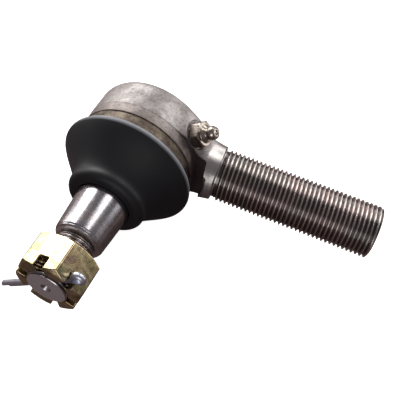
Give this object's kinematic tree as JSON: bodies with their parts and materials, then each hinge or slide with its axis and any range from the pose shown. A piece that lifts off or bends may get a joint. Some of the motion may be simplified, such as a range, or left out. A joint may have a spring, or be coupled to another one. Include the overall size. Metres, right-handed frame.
{
  "type": "tie rod end",
  "caption": "Greasable steering tie rod end: forged head with threaded shank, tapered ball stud in a rubber dust boot, slotted nut and cotter pin.",
  "frame": {"origin": "centre of the ball, where the stud's axis crosses the shank's axis", "axes": "-Y along the stud towards its nut, +X towards the shank's end (the shank leans 4.9 degrees from +X towards +Y), +Z towards the side with the grease fitting"},
  "size_m": [0.1495, 0.1107, 0.0644],
  "materials": {
    "forged_steel": "forged and shot-blasted, light grey with brown oil stains; rolled thread bright",
    "bearing_steel": "ground",
    "spring_steel": "oiled",
    "pressed_steel": "pressed sheet",
    "seal_rubber": "matte",
    "boot_rubber": "moulded, satin",
    "turned_steel": "ground bright",
    "yellow_zinc": "yellow zinc chromate, glossy",
    "bright_zinc": "bright zinc",
    "plated_fitting": "nickel-plated"
  },
  "bodies": {
    "head": {"housing": "forged_steel", "stud_side_bearing": "bearing_steel", "end_cap": "pressed_steel", "cap_seal": "seal_rubber", "disc_spring": "spring_steel"},
    "pad": {"cap_side_bearing": "bearing_steel"},
    "boot": {"dust_boot": "boot_rubber", "boot_seat_ring": "pressed_steel"},
    "boot_collar": {"boot_lip_ring": "pressed_steel"},
    "stud": {"ball_stud": "turned_steel", "slotted_nut": "yellow_zinc"},
    "pin": {"cotter_pin": "bright_zinc"},
    "fitting": {"grease_fitting": "plated_fitting", "check_spring": "spring_steel"},
    "check_valve": {"check_ball": "bearing_steel"}
  },
  "joints": [
    {"name": "boot_swivel", "type": "hinge", "parent": "head", "child": "boot", "pos_m": [0, 0, 0], "axis": [0, -1, 0], "continuous": true},
    {"name": "stud_tilt", "type": "hinge", "parent": "boot", "child": "boot_collar", "pos_m": [0, 0, 0], "axis": [0, 0, 1], "range_deg": [-20, 20], "deforming": ["dust_boot"]},
    {"name": "stud_spin", "type": "hinge", "parent": "boot_collar", "child": "stud", "pos_m": [0, 0, 0], "axis": [0, -1, 0], "continuous": true},
    {"name": "pin_draw", "type": "slide", "parent": "stud", "child": "pin", "axis": [0.6947, 0, 0.7193], "range_m": [0, 0.052]},
    {"name": "fitting_out", "type": "slide", "parent": "head", "child": "fitting", "axis": [0.7716, 0, 0.6361], "range_m": [0, 0.012]},
    {"name": "check_press", "type": "slide", "parent": "fitting", "child": "check_valve", "axis": [-0.7716, 0, -0.6361], "range_m": [0, 0.0008], "stiffness_N_per_m": 300, "springref_m": -0.001, "deforming": ["check_spring"]},
    {"name": "pad_give", "type": "slide", "parent": "head", "child": "pad", "axis": [0, 1, 0], "range_m": [0, 0.0005], "stiffness_N_per_m": 20000, "springref_m": -0.0005, "deforming": ["disc_spring"]}
  ]
}
